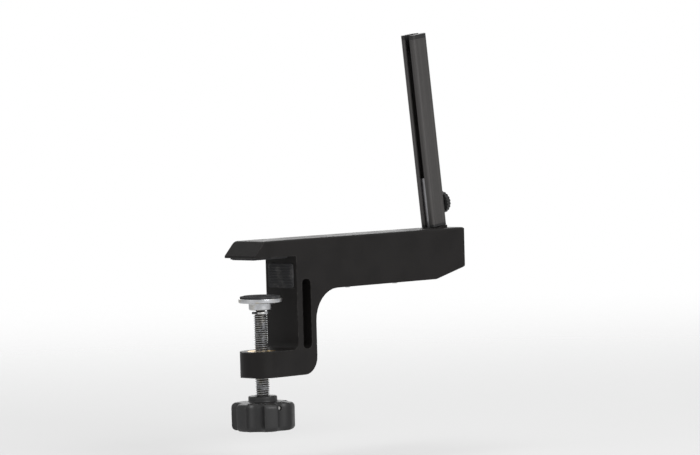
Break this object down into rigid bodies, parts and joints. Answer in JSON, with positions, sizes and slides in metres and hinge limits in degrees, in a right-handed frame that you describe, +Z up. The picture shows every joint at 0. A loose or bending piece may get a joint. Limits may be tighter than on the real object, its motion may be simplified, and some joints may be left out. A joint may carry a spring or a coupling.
{
  "type": "table tennis net clamp",
  "caption": "Black C-shaped screw clamp for a table's edge with a long arm and a leaning slotted post that holds one end of a table tennis net.",
  "frame": {"origin": "centre of the upper pad's underside, where it rests on the table's top, on the clamp screw's axis", "axes": "+X outboard from the table along the net's line, +Y along the table's edge, +Z up from the table's top"},
  "size_m": [0.2281, 0.042, 0.2725],
  "materials": {
    "frame_coat": "satin powder coat",
    "post_anodised": "satin black anodised",
    "pad_rubber": "matte",
    "moulded_black": "fine grain",
    "zinc_steel": "zinc plated",
    "bar_steel": "drawn",
    "black_steel": "black oxide",
    "brass": "turned"
  },
  "bodies": {
    "clamp": {"clamp_frame": "frame_coat", "top_jaw_pad": "pad_rubber", "edge_bumper": "pad_rubber", "thread_insert": "brass", "arm_cover": "moulded_black", "cover_screws": "zinc_steel", "post_tongue": "bar_steel", "tongue_screw": "black_steel", "cord_cleat": "moulded_black", "cleat_screws": "zinc_steel"},
    "screw_ring": {"neck_ring": "zinc_steel"},
    "spindle": {"clamp_screw": "zinc_steel", "clamp_knob": "moulded_black", "knob_pin": "zinc_steel", "knob_cap": "moulded_black"},
    "swivel_plate": {"pressure_plate": "zinc_steel", "plate_pad": "pad_rubber"},
    "net_post": {"post": "post_anodised", "post_foot": "moulded_black", "post_cap": "moulded_black", "lock_nut": "zinc_steel"},
    "lock_shoe_slide": {"lock_shoe": "brass"},
    "lock_thumbscrew": {"lock_screw": "zinc_steel", "lock_knob": "moulded_black"}
  },
  "joints": [
    {"name": "screw_travel", "type": "slide", "parent": "clamp", "child": "screw_ring", "axis": [0, 0, 1], "range_m": [-0.02501, 0.01201]},
    {"name": "screw_turn", "type": "hinge", "parent": "screw_ring", "child": "spindle", "pos_m": [0, 0, -0.09], "axis": [0, 0, 1], "range_deg": [-6000, 2880]},
    {"name": "plate_tilt", "type": "hinge", "parent": "screw_ring", "child": "swivel_plate", "pos_m": [0, 0, -0.03255], "axis": [0, 1, 0], "range_deg": [-3, 3]},
    {"name": "post_height", "type": "slide", "parent": "clamp", "child": "net_post", "axis": [-0.1219, 0, 0.9925], "range_m": [0, 0.012]},
    {"name": "lock_travel", "type": "slide", "parent": "net_post", "child": "lock_shoe_slide", "axis": [0.9925, 0, 0.1219], "range_m": [0, 0.0016]},
    {"name": "lock_turn", "type": "hinge", "parent": "lock_shoe_slide", "child": "lock_thumbscrew", "pos_m": [0.17818, 0, 0.02996], "axis": [0.9925, 0, 0.1219], "range_deg": [0, 720.2]}
  ],
  "couplings": [
    {"joint": "screw_travel", "follows": "screw_turn", "m_per_rad": 0.00023873},
    {"joint": "lock_turn", "follows": "lock_travel", "rad_per_m": 7854}
  ]
}
